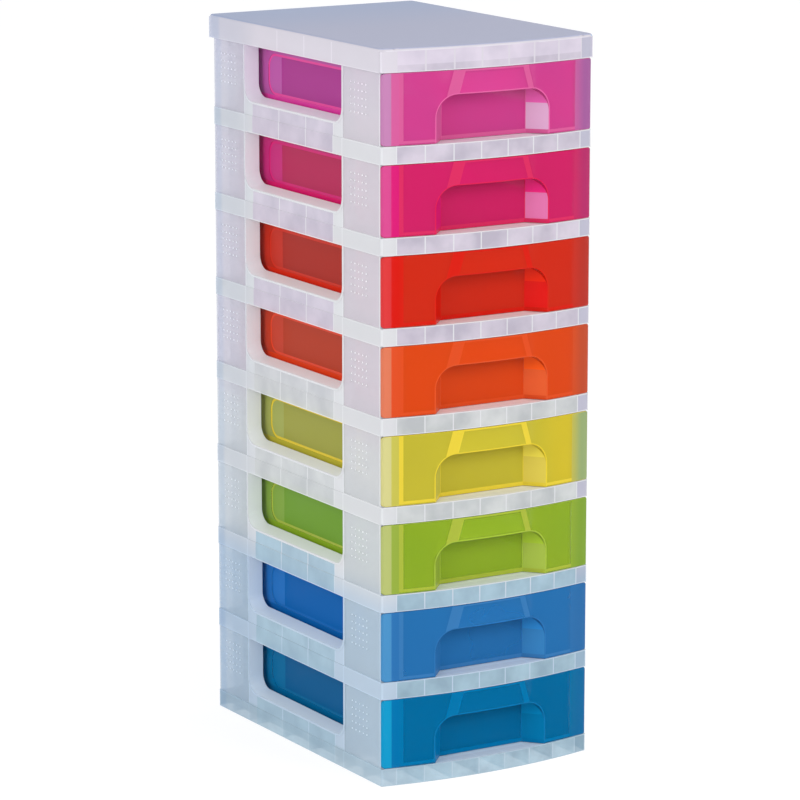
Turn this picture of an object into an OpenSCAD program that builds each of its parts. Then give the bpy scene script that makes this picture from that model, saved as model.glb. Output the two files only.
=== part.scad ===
/* [Tower] */
// Number of tiers, each one frame and one drawer
tiers = 8; // [2:1:10]
// Width of a tier over its base rail
tower_w = 300; // [260:1:400]
// Depth of a tier from its front corners to its rear face
tower_d = 417; // [380:1:520]
// How far the middle of the front bows out past its corners
front_bow = 16.5; // [8:0.5:24]
// Height from the foot of one tier to the foot of the next
tier_h = 110; // [100:1:160]

/* [Tier frame] */
// Wall thickness of the frames and of the cover
frame_wall = 2; // [1.4:0.1:3]
// Height of the base rail, up to the top of its shelf
rail_h = 22; // [18:0.5:30]
// How far the base rail stands out past the side walls on it
rail_proud = 0.7; // [0.2:0.1:1.2]
// Plan radius of the front corners
front_corner_r = 3.6; // [2.8:0.1:8]
// Plan radius of the rear corners
rear_corner_r = 3; // [2.4:0.1:8]
// Thickness of the hollow side walls, skin to skin
side_depth = 20; // [16:0.5:26]

/* [Ribs] */
// Thickness of the ribs under the shelf and under the cover
rib_t = 1.4; // [1:0.1:2.4]
// Distance between the ribs that run from front to back
rib_pitch = 37.7; // [30:0.1:40]
// Number of front to back ribs between the inner skins
rib_count = 6; // [2:2:6]
// Number of side to side ribs
cross_rib_count = 6; // [4:1:7]
// Distance from the front corners to the first side to side rib
cross_rib_front = 46.8; // [40:0.1:56]
// Distance from the rear face to the last side to side rib
cross_rib_rear = 35.2; // [26:0.1:44]

/* [Side window] */
// Distance from the front corners to the front jamb of the window
window_front = 93; // [80:1:110]
// Distance from the rear face to the rear jamb of the window
window_back = 82; // [70:1:120]
// Height of the window sill over the foot of the tier
window_sill = 39.5; // [34:0.5:50]
// Radius of the lower corners of the window
window_r = 19; // [10:1:30]
// Rise of the sill towards the inside
sill_flare = 4; // [1:0.5:6]
// Narrowing of the window at each jamb towards the inside
jamb_flare = 2; // [1:0.5:5]
// Height of the raised lip around the window on the outside
lip_proud = 0.6; // [0.3:0.1:0.7]
// Width of the raised lip around the window
lip_w = 2.4; // [1.6:0.1:4]

/* [Locating tongues] */
// Length of the tongues that stand up into the next tier
tongue_len = 28; // [16:1:34]
// Height of the tongues over the top of the walls
tongue_h = 4; // [2:0.5:8]
// Thickness of the tongues
tongue_t = 1.6; // [1:0.1:2.4]
// Clearance between a tongue and the wall that it locates
tongue_gap = 0.3; // [0.2:0.1:0.8]

/* [Cover] */
// Height of the cover
cover_h = 29.5; // [24:0.5:40]
// How far the cover stands out past the rails at each side
cover_side = 1.5; // [0.5:0.1:4]
// How far the cover stands out past the front rails
cover_front = 1; // [0.5:0.1:4]
// How far the cover stands out past the rear of the tiers
cover_rear = 9; // [2:0.5:14]
// Radius of the rounded top edge of the cover
cover_edge_r = 3.5; // [2.5:0.5:6]
// Thickness of the top plate of the cover
cover_plate = 2.4; // [1.6:0.1:4]

/* [Drawer] */
// Wall and floor thickness of the drawer box
drawer_wall = 1.8; // [1.2:0.1:2.6]
// Thickness of the bowed front panel
panel_t = 2.4; // [1.8:0.1:3.2]
// Radius of the corners of the front panel
panel_corner_r = 4.5; // [2:0.5:10]
// Gap over and under the front panel
panel_gap = 0.6; // [0.4:0.1:1.5]
// Gap between the end lip of the panel and the frame behind it
panel_back_gap = 0.8; // [0.5:0.1:2]
// How far the end lips of the panel reach behind the front corners
panel_lip = 2.6; // [1:0.1:5]
// Distance from the outside of the box to the inner skin of the frame
box_side_gap = 8; // [6:0.5:16]
// Distance from the back of the box to the rear wall of the frame
box_rear_gap = 6; // [3:0.5:20]
// Gap between the floor of the box and the shelf
floor_gap = 0.5; // [0.4:0.1:1]
// Distance from the rim of the box to the foot of the next tier
rim_gap = 3.5; // [3:0.5:14]
// Radius of the long bottom edges of the box
box_edge_r = 5; // [3:0.5:10]
// Radius of the upright rear corners of the box
box_corner_r = 10; // [4:0.5:20]
// Gap between the rim flange and the inner skin of the frame
flange_gap = 1.7; // [1:0.1:4]
// Thickness of the rim flange
flange_t = 2; // [1.4:0.1:3]
// Radius of the rear corners of the rim flange
flange_r = 5; // [3:0.5:8]

/* [Drawer side emboss] */
// Depth of the sunk field in each side of the box
emboss_depth = 0.7; // [0.3:0.1:0.9]
// Distance from the front corners to the front of the field
emboss_front = 42; // [30:1:60]
// Distance from the rear face to the rear of the field
emboss_back = 94; // [60:1:140]
// Height of the foot of the field over the foot of the tier
emboss_foot = 47; // [40:0.5:56]
// Radius of the corners of the field
emboss_r = 18; // [6:1:20]
// Distance from the rim flange down to the field
emboss_head = 5; // [2:0.5:10]

/* [Finger recess] */
// Half width of the arched opening in the front panel
arch_half = 80; // [66:1:90]
// Height of the arch over the foot of the tier
arch_top = 80; // [70:1:86]
// Radius of the corners of the arch
arch_r = 28; // [12:1:34]
// Half width of the recess at its flat back
recess_back_half = 60; // [50:1:70]
// Distance of the recess back behind the front corners
recess_back = 10; // [4:0.5:20]
// Half width of the grip pocket at the top of the arch
pocket_foot_half = 57.5; // [48:0.5:60]
// Half width of the grip pocket at its roof
pocket_roof_half = 49.5; // [42:0.5:54]
// Depth of the grip pocket behind the panel, in the middle
pocket_depth = 13.5; // [9:0.5:16]

/* [Hidden] */

// Drawer colours from the lowest tier up, used again from the start on a taller tower
drawer_colours = [
    "#0a78ae", "#3f86c8", "#9cc42c", "#e8d53c",
    "#ee6a20", "#e2341e", "#d8207c", "#e455a8"
];
frame_colour = "#e9edf0";
cover_colour = "#d9dde2";

$fn = 64;
bow_fn = 360;
arc_steps = 12;
overshoot = 1;

// The bow is an arc through both front corners
bow_r = (pow(tower_w / 2, 2) + pow(front_bow, 2)) / (2 * front_bow);
bow_cy = bow_r - front_bow;

// The tower stands centred on its own bounding box
front_y = -front_bow - cover_front;
rear_y = tower_d + cover_rear;
centre_y = (front_y + rear_y) / 2;

shelf_z = rail_h;
skin_x = tower_w / 2 - rail_proud;
skin_inner_x = skin_x - frame_wall;
inner_skin_x = tower_w / 2 - side_depth;
hollow_inner_x = inner_skin_x + frame_wall;

panel_half = skin_x;
panel_z0 = shelf_z + panel_gap;
panel_z1 = tier_h - panel_gap;
column_front = panel_lip + panel_back_gap;

box_half = inner_skin_x - box_side_gap;
box_rear = tower_d - frame_wall - box_rear_gap;
box_z0 = shelf_z + floor_gap;
box_z1 = tier_h - rim_gap;
flange_half = inner_skin_x - flange_gap;
flange_rear = tower_d - frame_wall - flange_gap;

window_rear = tower_d - window_back;
emboss_rear = tower_d - emboss_back;
cross_rib_pitch = (tower_d - cross_rib_rear - cross_rib_front) / (cross_rib_count - 1);
front_tongue_y = window_front - frame_wall - tongue_len;
rear_tongue_y = window_rear + frame_wall + tongue_len;

recess_slope = (arch_half - recess_back_half) / (recess_back - bow_y(arch_half));
pocket_back = -front_bow + panel_t + pocket_depth;
pocket_slope = (pocket_foot_half - pocket_roof_half) / (box_z1 - arch_top);

// Front of the bow at a distance x from the middle
function bow_y(x) = bow_cy - sqrt(pow(bow_r, 2) - pow(x, 2));

// Thickness of a wall measured across a slope, along the level
function across(t, slope) = t * sqrt(1 + pow(slope, 2));

// Points of a quarter circle that starts at an angle
function arc_points(centre, r, start) =
    [for (i = [0:arc_steps]) let (a = start + 90 * i / arc_steps) centre + r * [cos(a), sin(a)]];

// Plan of a tier: bowed front, straight sides and rear, all corners rounded.
// Each side can be let out, or taken in with a negative value.
module footprint(side = 0, front = 0, rear = 0, corner_r = front_corner_r, back_r = rear_corner_r) {
    half = tower_w / 2 + side;
    arc_r = bow_r + front;
    back = tower_d + rear;
    corner_x = half - corner_r;
    corner_y = bow_cy - sqrt(pow(arc_r - corner_r, 2) - pow(corner_x, 2));
    tangent_x = corner_x * arc_r / (arc_r - corner_r);
    translate([-half, corner_y])
        square([2 * half, back - back_r - corner_y]);
    translate([back_r - half, back - back_r - overshoot])
        square([2 * (half - back_r), back_r + overshoot]);
    intersection() {
        translate([0, bow_cy])
            circle(arc_r, $fn = bow_fn);
        translate([-tangent_x, front_y - tower_d])
            square([2 * tangent_x, tower_d - front_y + corner_y + overshoot]);
    }
    for (s = [-1, 1]) {
        translate([s * corner_x, corner_y])
            circle(corner_r);
        translate([s * (half - back_r), back - back_r])
            circle(back_r);
    }
}

// Plan taken in by a wall on every side
module footprint_inside(wall) {
    footprint(-wall, -wall, -wall, front_corner_r - wall, rear_corner_r - wall);
}

// Outline of the side window, let out by grow; it runs out over the top of the wall
module window_outline(grow = 0) {
    r = window_r + grow;
    y0 = window_front - grow;
    y1 = window_rear + grow;
    z0 = window_sill - grow;
    translate([y0, z0 + r])
        square([y1 - y0, tier_h + overshoot - z0 - r]);
    translate([y0 + r, z0])
        square([y1 - y0 - 2 * r, r + overshoot]);
    for (y = [y0 + r, y1 - r])
        translate([y, z0 + r])
            circle(r);
}

// Turns an outline drawn as depth and height into a solid from x0 to x1
module along_x(x0, x1) {
    translate([x0, 0, 0])
        rotate([90, 0, 90])
            linear_extrude(x1 - x0)
                children();
}

// Turns an outline drawn as width and height into a solid from y0 to y1
module along_y(y0, y1) {
    translate([0, y1, 0])
        rotate([90, 0, 0])
            linear_extrude(y1 - y0)
                children();
}

// Window through the right side wall, narrowing towards the inside
module window_cut() {
    reach = side_depth + 2 * overshoot;
    mid_y = (window_front + window_rear) / 2;
    half_len = (window_rear - window_front) / 2;
    drop = tier_h - window_sill;
    narrow = [1 - jamb_flare / half_len * reach / side_depth, 1 - sill_flare / drop * reach / side_depth];
    translate([tower_w / 2 + overshoot, mid_y, tier_h])
        rotate([90, 0, -90])
            linear_extrude(reach, scale = narrow, slices = 1)
                mirror([1, 0])
                    translate([-mid_y, -tier_h])
                        window_outline($fn = 48);
}

// Raised lip around the right side window
module window_lip() {
    intersection() {
        along_x(skin_x - overshoot, skin_x + lip_proud)
            window_outline(lip_w);
        translate([0, 0, shelf_z])
            cube([tower_w, tower_d, tier_h - shelf_z]);
    }
}

// Hollow between the skins of the right side wall, open at its foot and its head
module side_hollow() {
    along_x(hollow_inner_x, skin_inner_x)
        difference() {
            translate([column_front + frame_wall, -overshoot])
                square([tower_d - column_front - 2 * frame_wall, tier_h + 2 * overshoot]);
            window_outline(frame_wall);
        }
}

// Tongues on the right side wall that stand up into the tier above
module side_tongues() {
    for (y = [front_tongue_y, rear_tongue_y])
        translate([0, y - tongue_len / 2, tier_h]) {
            translate([skin_inner_x - tongue_t, 0, -2 * tongue_h])
                cube([tongue_t + frame_wall / 2, tongue_len, 2 * tongue_h]);
            translate([skin_inner_x - tongue_t, 0, -overshoot])
                cube([tongue_t - tongue_gap, tongue_len, tongue_h + overshoot]);
        }
}

// Room for the tongues of the tier below, wherever a rib would stand in their way
module tongue_seats() {
    seat_len = tongue_len + 2 * tongue_gap;
    for (s = [0, 1], y = [front_tongue_y, rear_tongue_y])
        mirror([s, 0, 0])
            translate([skin_inner_x - tongue_t - tongue_gap, y - seat_len / 2, -overshoot])
                cube([tongue_t + frame_wall / 2, seat_len, tongue_h + tongue_gap + overshoot]);
}

// Ribs under a plate; height is the underside of the plate and side the overhang of its skirt
module rib_grid(height, side = 0, front = 0, rear = 0) {
    for (i = [0:rib_count - 1]) {
        x = (i - (rib_count - 1) / 2) * rib_pitch;
        y0 = bow_y(abs(x)) - front + frame_wall / 2;
        translate([x - rib_t / 2, y0, 0])
            cube([rib_t, tower_d + rear - frame_wall / 2 - y0, height]);
    }
    difference() {
        for (i = [0:cross_rib_count - 1]) {
            y = cross_rib_front + i * cross_rib_pitch;
            half = tower_w / 2 + side - frame_wall / 2;
            translate([-half, y - rib_t / 2, 0])
                cube([2 * half, rib_t, height]);
        }
        tongue_seats();
    }
}

// Short ribs that carry the window sill inside the right side wall, and the foot of each jamb
module sill_ribs() {
    reach = skin_inner_x - hollow_inner_x + frame_wall;
    for (i = [0:cross_rib_count - 1]) {
        y = cross_rib_front + i * cross_rib_pitch;
        if (y > window_front + window_r / 2 && y < window_rear - window_r / 2)
            translate([hollow_inner_x - frame_wall / 2, y - rib_t / 2, 0])
                cube([reach, rib_t, window_sill - frame_wall / 2]);
    }
    for (y = [window_front - frame_wall, window_rear])
        translate([hollow_inner_x - frame_wall / 2, y, 0])
            cube([reach, frame_wall, window_sill + window_r]);
}

// Base rail, shelf, two side walls and rear wall before they are hollowed
module frame_block() {
    linear_extrude(rail_h)
        footprint();
    for (s = [0, 1])
        mirror([s, 0, 0]) {
            translate([inner_skin_x, column_front, 0])
                cube([skin_x - inner_skin_x, tower_d - column_front - rear_corner_r, tier_h]);
            window_lip();
        }
    intersection() {
        linear_extrude(tier_h)
            footprint(-rail_proud);
        translate([-tower_w, tower_d - 2 * rear_corner_r, 0])
            cube([2 * tower_w, 3 * rear_corner_r, tier_h]);
    }
}

// Room for the drawer over the shelf
module drawer_bay() {
    translate([-inner_skin_x, front_y, shelf_z])
        cube([2 * inner_skin_x, tower_d - frame_wall - front_y, tier_h]);
}

// Hollow under the shelf, between the inner skins and out to the corners
module under_shelf() {
    translate([0, 0, -overshoot])
        linear_extrude(shelf_z - frame_wall + overshoot)
            difference() {
                footprint_inside(frame_wall);
                for (s = [-1, 1])
                    translate([s * (inner_skin_x + frame_wall / 2), tower_d / 2])
                        square([frame_wall, 2 * tower_d], center = true);
            }
}

// One tier frame: base rail with ribbed shelf, hollow side walls with windows, rear wall
module tier_frame(tier) {
    color(frame_colour)
        translate([0, -centre_y, (tier - 1) * tier_h]) {
            difference() {
                frame_block();
                drawer_bay();
                under_shelf();
                for (s = [0, 1])
                    mirror([s, 0, 0]) {
                        side_hollow();
                        window_cut();
                    }
            }
            rib_grid(shelf_z - frame_wall / 2);
            for (s = [0, 1])
                mirror([s, 0, 0]) {
                    sill_ribs();
                    side_tongues();
                }
        }
}

// Skirt and top plate of the cover with a rounded top edge
module cover_shell() {
    steps = 5;
    linear_extrude(cover_h - cover_edge_r)
        footprint(cover_side, cover_front, cover_rear);
    hull()
        for (i = [0:steps]) {
            a = 90 * i / steps;
            inset = cover_edge_r * (1 - cos(a));
            slice = 0.01;
            translate([0, 0, cover_h - cover_edge_r * (1 - sin(a)) - slice])
                linear_extrude(slice)
                    footprint(cover_side - inset, cover_front - inset, cover_rear - inset,
                        front_corner_r + cover_edge_r - inset, rear_corner_r + cover_edge_r - inset, $fn = 32);
        }
}

// Rib of the cover that stands on the rear wall of the highest tier
module rear_rib() {
    half = tower_w / 2 + cover_side - frame_wall / 2;
    translate([-half, tower_d - frame_wall, 0])
        cube([2 * half, frame_wall, cover_h - cover_plate / 2]);
}

// Top cover: flat plate with a deep skirt and the same ribs as the shelves
module top_cover() {
    color(cover_colour)
        translate([0, -centre_y, tiers * tier_h]) {
            difference() {
                cover_shell();
                translate([0, 0, -overshoot])
                    linear_extrude(cover_h - cover_plate + overshoot)
                        footprint(cover_side - frame_wall, cover_front - frame_wall, cover_rear - frame_wall);
            }
            rib_grid(cover_h - cover_plate / 2, cover_side, cover_front, cover_rear);
            rear_rib();
            for (s = [-1, 1])
                translate([s * (inner_skin_x + frame_wall / 2) - frame_wall / 2, bow_y(inner_skin_x), 0])
                    cube([frame_wall, tower_d + cover_rear - frame_wall / 2 - bow_y(inner_skin_x),
                        cover_h - cover_plate / 2]);
        }
}

// Solid behind the bow, set back by t from the front face
module behind_bow(t) {
    translate([0, bow_cy, 0])
        cylinder(h = tier_h, r = bow_r - t, $fn = bow_fn);
}

// Bowed front panel with rounded corners and short end lips
module drawer_panel() {
    r = panel_corner_r;
    intersection() {
        linear_extrude(tier_h)
            intersection() {
                difference() {
                    footprint(panel_half - tower_w / 2);
                    footprint(panel_half - tower_w / 2 - panel_t, -panel_t, -panel_t, front_corner_r - panel_t);
                }
                translate([-tower_w, front_y - overshoot])
                    square([2 * tower_w, panel_lip - front_y + overshoot]);
            }
        along_y(front_y - overshoot, panel_lip + overshoot) {
            translate([-panel_half, panel_z0 + r])
                square([2 * panel_half, panel_z1 - panel_z0 - 2 * r]);
            translate([r - panel_half, panel_z0])
                square([2 * (panel_half - r), panel_z1 - panel_z0]);
            for (x = [r - panel_half, panel_half - r], z = [panel_z0 + r, panel_z1 - r])
                translate([x, z])
                    circle(r);
        }
    }
}

// Box with rounded long bottom edges and rear corners, taken in by inset
module box_form(inset, head) {
    half = box_half - inset;
    rear = box_rear - inset;
    foot = box_z0 + inset;
    r = box_edge_r - inset;
    corner = box_corner_r - inset;
    intersection() {
        along_y(front_y, rear) {
            translate([-half, foot + r])
                square([2 * half, head - foot - r]);
            translate([r - half, foot])
                square([2 * (half - r), 2 * r]);
            for (s = [-1, 1])
                translate([s * (half - r), foot + r])
                    circle(r);
        }
        linear_extrude(tier_h) {
            translate([-half, front_y - overshoot])
                square([2 * half, rear - corner - front_y + overshoot]);
            translate([corner - half, front_y - overshoot])
                square([2 * (half - corner), rear - front_y + overshoot]);
            for (s = [-1, 1])
                translate([s * (half - corner), rear - corner])
                    circle(corner);
        }
    }
}

// Flat flange around the rim of the box
module rim_flange() {
    r = flange_r;
    front = panel_lip / 2;
    translate([0, 0, box_z1 - flange_t])
        linear_extrude(flange_t) {
            translate([-flange_half, front])
                square([2 * flange_half, flange_rear - r - front]);
            translate([r - flange_half, front])
                square([2 * (flange_half - r), flange_rear - front]);
            for (s = [-1, 1])
                translate([s * (flange_half - r), flange_rear - r])
                    circle(r);
        }
}

// Sunk field in the right side of the box
module side_emboss() {
    r = emboss_r;
    z1 = box_z1 - flange_t - emboss_head;
    along_x(box_half - emboss_depth, box_half + overshoot) {
        translate([emboss_front, emboss_foot + r])
            square([emboss_rear - emboss_front, z1 - emboss_foot - 2 * r]);
        translate([emboss_front + r, emboss_foot])
            square([emboss_rear - emboss_front - 2 * r, z1 - emboss_foot]);
        for (y = [emboss_front + r, emboss_rear - r], z = [emboss_foot + r, z1 - r])
            translate([y, z])
                circle(r);
    }
}

// Finger recess let out by grow: an arch that narrows towards a flat back
module recess_form(grow) {
    half = arch_half + grow;
    top = arch_top + grow;
    r = arch_r + grow;
    lead = front_y - 2 * overshoot;
    wall = across(grow, recess_slope);
    wide = recess_back_half + recess_slope * (recess_back - lead) + wall;
    narrow = recess_back_half - recess_slope * grow + wall;
    intersection() {
        along_y(lead, recess_back + grow)
            polygon(concat(
                [[-half, 0], [half, 0]],
                arc_points([half - r, top - r], r, 0),
                arc_points([r - half, top - r], r, 90)
            ));
        linear_extrude(tier_h)
            polygon([
                [-wide, lead],
                [wide, lead],
                [narrow, recess_back + grow],
                [-narrow, recess_back + grow]
            ]);
    }
}

// Grip pocket over the arch, let out by grow, with leaning ends
module pocket_form(grow, head) {
    foot = arch_top - arch_r / 2;
    wall = across(grow, pocket_slope);
    foot_half = pocket_foot_half + pocket_slope * (arch_top - foot) + wall;
    head_half = pocket_foot_half - pocket_slope * (head - arch_top) + wall;
    along_y(front_y, pocket_back + grow)
        polygon([
            [-foot_half, foot],
            [foot_half, foot],
            [head_half, head],
            [-head_half, head]
        ]);
}

// Outside of the drawer box with its recess walls, before it is hollowed
module drawer_shell() {
    difference() {
        union() {
            box_form(0, box_z1);
            rim_flange();
        }
        difference() {
            box_form(drawer_wall, tier_h);
            recess_form(drawer_wall);
            pocket_form(drawer_wall, box_z1);
        }
        for (s = [0, 1])
            mirror([s, 0, 0])
                side_emboss();
    }
}

// One drawer: box, bowed front panel and finger recess in one moulding
module drawer(tier) {
    color(drawer_colours[(tier - 1) % len(drawer_colours)])
        translate([0, -centre_y, (tier - 1) * tier_h])
            difference() {
                union() {
                    drawer_panel();
                    intersection() {
                        drawer_shell();
                        behind_bow(panel_t / 2);
                    }
                }
                recess_form(0);
                intersection() {
                    pocket_form(0, box_z1 - drawer_wall);
                    behind_bow(panel_t);
                }
            }
}

for (i = [1:tiers]) {
    tier_frame(i);
    drawer(i);
}
top_cover();
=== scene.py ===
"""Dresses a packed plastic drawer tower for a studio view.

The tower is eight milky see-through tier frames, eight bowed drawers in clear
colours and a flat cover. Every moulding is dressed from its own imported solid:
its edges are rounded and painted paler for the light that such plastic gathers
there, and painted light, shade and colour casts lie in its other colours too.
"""

import logging
import math
from collections.abc import Callable
from dataclasses import dataclass, field
from enum import Enum

import bmesh
import bpy
from mathutils import Euler, Matrix, Vector
from mathutils.bvhtree import BVHTree


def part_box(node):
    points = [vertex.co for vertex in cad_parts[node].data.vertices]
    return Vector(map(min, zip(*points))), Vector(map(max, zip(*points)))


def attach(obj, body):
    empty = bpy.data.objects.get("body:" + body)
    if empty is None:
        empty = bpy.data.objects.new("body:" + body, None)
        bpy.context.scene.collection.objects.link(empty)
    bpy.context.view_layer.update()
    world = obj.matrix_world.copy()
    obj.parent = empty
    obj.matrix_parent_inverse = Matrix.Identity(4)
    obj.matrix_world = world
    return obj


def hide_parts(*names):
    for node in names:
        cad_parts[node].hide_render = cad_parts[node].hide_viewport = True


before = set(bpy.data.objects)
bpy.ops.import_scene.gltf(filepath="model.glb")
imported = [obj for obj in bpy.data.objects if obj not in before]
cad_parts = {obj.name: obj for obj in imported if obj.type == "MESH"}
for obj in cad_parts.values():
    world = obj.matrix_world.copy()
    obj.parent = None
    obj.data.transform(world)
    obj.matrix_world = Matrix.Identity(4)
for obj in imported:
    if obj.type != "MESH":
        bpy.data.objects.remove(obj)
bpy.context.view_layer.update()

log = logging.getLogger("drawer_tower")
logging.basicConfig(level=logging.INFO, format="%(name)s: %(message)s")

MILLIMETRE = 0.001

SCREEN_WHITE = 255
SRGB_TOE = 0.04045

# A normal this far along an axis faces along it: flat to it, near it, or rather that way
FLAT = 0.99
SQUARE = 0.9
TOWARDS = 0.5

Colour = tuple[float, float, float]
Spans = list[tuple[float, float]]
CLEAR: Colour = (1.0, 1.0, 1.0)


class Axis(Enum):
    """The axes of the tower: across it, from front to rear, and up."""

    ACROSS = 0
    REARWARD = 1
    UP = 2


class Face(Enum):
    """The places of a moulding that have a plastic of their own; most of them carry painted
    highlights, glows and shade.
    """

    WALL = 0
    # Pale lines on rounded edges, ribs, lips and corners: painted highlights
    EDGE = 1
    # Pale frame reveals, shelf ribs and dots: painted light against their shade; a drawer's lower
    # right recess wall: painted light and a painted reflection
    WEB = 2
    # Pale drawer panel ends over the columns: painted glow of the column seen through; the cover's
    # matt top plate: its own colour
    END = 3
    # Bays between ribs: painted clouds of shade
    BAY = 4
    # Lighter bays, and a drawer's strips beside its left end and on its left recess wall: painted
    # glow
    GLOW = 5
    # Paler rail bands and cover skirt: partly thicker plastic, partly painted light; a drawer's
    # bands where walls meet the panel: painted glow; the cover's near top edge and skirt ribs:
    # painted highlight
    BAND = 6
    FIELD = 7
    # A drawer side round its sunk field: a paler painted halo
    SIDE = 8
    # The foot of a drawer side: painted paler against the shade low in the window
    FOOT = 9
    # A drawer's pale field border: painted highlight; the cover's far top edge: painted shade
    LINE = 10
    # Right-hand ends of rails, skirt and panels, darker and bluer: painted shade
    FAR = 11
    # Shelf edges and the part over a drawer's right recess wall: painted paler against their shade
    NOOK = 12


class Tone(Enum):
    """The drawer colours from the lowest tier up, each with a slot name."""

    DEEP_BLUE = "drawer_deep_blue"
    MID_BLUE = "drawer_mid_blue"
    LIME = "drawer_lime"
    YELLOW = "drawer_yellow"
    ORANGE = "drawer_orange"
    RED = "drawer_red"
    RASPBERRY = "drawer_raspberry"
    PINK = "drawer_pink"


def linear(value: float) -> float:
    """Turns one screen value from 0 to 1 into a linear one."""
    return value / 12.92 if value <= SRGB_TOE else ((value + 0.055) / 1.055) ** 2.4


def display(red: int, green: int, blue: int) -> Colour:
    """Turns screen values from 0 to 255 into a linear colour."""
    return tuple(linear(value / SCREEN_WHITE) for value in (red, green, blue))


def within(place: float, spans: Spans) -> bool:
    """Says whether a place lies inside one of the spans."""
    return any(low < place < high for low, high in spans)


@dataclass(frozen=True)
class PaintedLightGradient:
    """Painted light, shade and colour cast laid over a plastic along one axis of the tower.

    The plastic's colour is multiplied by one colour up to the start and by the
    other from the stop on. Places are in metres.
    """

    axis: Axis
    start: float
    stop: float
    before: Colour = CLEAR
    after: Colour = CLEAR

    def over(
        self,
        tree: bpy.types.NodeTree,
        place: bpy.types.NodeSocket,
        plain: bpy.types.NodeSocket,
    ) -> bpy.types.NodeSocket:
        """Lays the painted light and shade over a colour.

        Args:
            tree: The material's node tree.
            place: The coordinates of the surface.
            plain: The colour without the painted light and shade.

        Returns:
            The colour with the painted light and shade.
        """
        parts = tree.nodes.new("ShaderNodeSeparateXYZ")
        tree.links.new(place, parts.inputs["Vector"])
        share = tree.nodes.new("ShaderNodeMapRange")
        share.interpolation_type = "SMOOTHSTEP"
        share.inputs["From Min"].default_value = self.start
        share.inputs["From Max"].default_value = self.stop
        tree.links.new(parts.outputs[self.axis.value], share.inputs["Value"])
        gradient = tree.nodes.new("ShaderNodeMix")
        gradient.data_type = "RGBA"
        gradient.inputs["A"].default_value = (*self.before, 1.0)
        gradient.inputs["B"].default_value = (*self.after, 1.0)
        tree.links.new(share.outputs["Result"], gradient.inputs["Factor"])
        product = tree.nodes.new("ShaderNodeMix")
        product.data_type = "RGBA"
        product.blend_type = "MULTIPLY"
        product.inputs["Factor"].default_value = 1.0
        tree.links.new(plain, product.inputs["A"])
        tree.links.new(gradient.outputs["Result"], product.inputs["B"])
        return product.outputs["Result"]


@dataclass(frozen=True)
class Moulded:
    """A moulded plastic: colour, see-through share and the texture of its skin.

    Lengths are in metres and colours are linear. The mottling passes between
    the colour and the shade, the faster the higher its contrast.
    """

    name: str
    colour: Colour
    shade: Colour
    alpha: float = 1.0
    roughness: float = 0.3
    mottle_scale: float = 9.0
    contrast: float = 1.0
    grain_scale: float = 900.0
    grain_height: float = 0.00002
    gloss_change: float = 0.06
    gloss: float = 0.5
    light_gradients: tuple[PaintedLightGradient, ...] = ()

    def material(self) -> bpy.types.Material:
        """Builds the shader.

        Returns:
            The material, made once and found again by its name.
        """
        known = bpy.data.materials.get(self.name)
        if known:
            return known
        made = bpy.data.materials.new(self.name)
        made.use_nodes = True
        nodes = made.node_tree.nodes
        links = made.node_tree.links
        skin = nodes["Principled BSDF"]
        skin.inputs["Alpha"].default_value = self.alpha
        skin.inputs["IOR"].default_value = 1.49
        skin.inputs["Specular IOR Level"].default_value = self.gloss

        place = nodes.new("ShaderNodeTexCoord")
        mottle = nodes.new("ShaderNodeTexNoise")
        mottle.inputs["Scale"].default_value = self.mottle_scale
        mottle.inputs["Detail"].default_value = 3.0
        links.new(place.outputs["Object"], mottle.inputs["Vector"])
        spread = nodes.new("ShaderNodeMapRange")
        spread.inputs["From Min"].default_value = 0.5 - 0.5 / self.contrast
        spread.inputs["From Max"].default_value = 0.5 + 0.5 / self.contrast
        links.new(mottle.outputs["Fac"], spread.inputs["Value"])

        blend = nodes.new("ShaderNodeMix")
        blend.data_type = "RGBA"
        blend.inputs["A"].default_value = (*self.colour, 1.0)
        blend.inputs["B"].default_value = (*self.shade, 1.0)
        links.new(spread.outputs["Result"], blend.inputs["Factor"])
        colour = blend.outputs["Result"]
        # Lays the painted light, shade and colour casts over the colour
        for gradient in self.light_gradients:
            colour = gradient.over(made.node_tree, place.outputs["Object"], colour)
        links.new(colour, skin.inputs["Base Color"])

        gloss = nodes.new("ShaderNodeMapRange")
        gloss.inputs["To Min"].default_value = self.roughness - self.gloss_change
        gloss.inputs["To Max"].default_value = self.roughness + self.gloss_change
        links.new(mottle.outputs["Fac"], gloss.inputs["Value"])
        links.new(gloss.outputs["Result"], skin.inputs["Roughness"])

        grain = nodes.new("ShaderNodeTexNoise")
        grain.inputs["Scale"].default_value = self.grain_scale
        grain.inputs["Detail"].default_value = 2.0
        links.new(place.outputs["Object"], grain.inputs["Vector"])
        bump = nodes.new("ShaderNodeBump")
        bump.inputs["Distance"].default_value = self.grain_height
        bump.inputs["Strength"].default_value = 0.6
        links.new(grain.outputs["Fac"], bump.inputs["Height"])
        links.new(bump.outputs["Normal"], skin.inputs["Normal"])
        return made


@dataclass(frozen=True)
class ColourAndPaintedLight:
    """The plastics of one kind of moulding, one for each place that it has; most of them carry
    painted light and shade.
    """

    plastics: dict[Face, Moulded]

    def plastic(self, face: Face) -> Moulded:
        """Gives the plastic of a place, or that of the wall where it has none."""
        return self.plastics.get(face, self.plastics[Face.WALL])

    def dress(self, piece: bpy.types.Object) -> None:
        """Gives a piece one material slot for each finish that its faces use.

        Args:
            piece: The piece, whose faces hold the numbers of Face.
        """
        faces = piece.data.polygons
        used = sorted({face.material_index for face in faces})
        for number in used:
            piece.data.materials.append(self.plastic(Face(number)).material())
        for face in faces:
            face.material_index = used.index(face.material_index)


# The painted blue cast and shade of the two lowest tiers fades out between these heights
BLUE_CAST_FADE = (0.205, 0.265)

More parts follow.
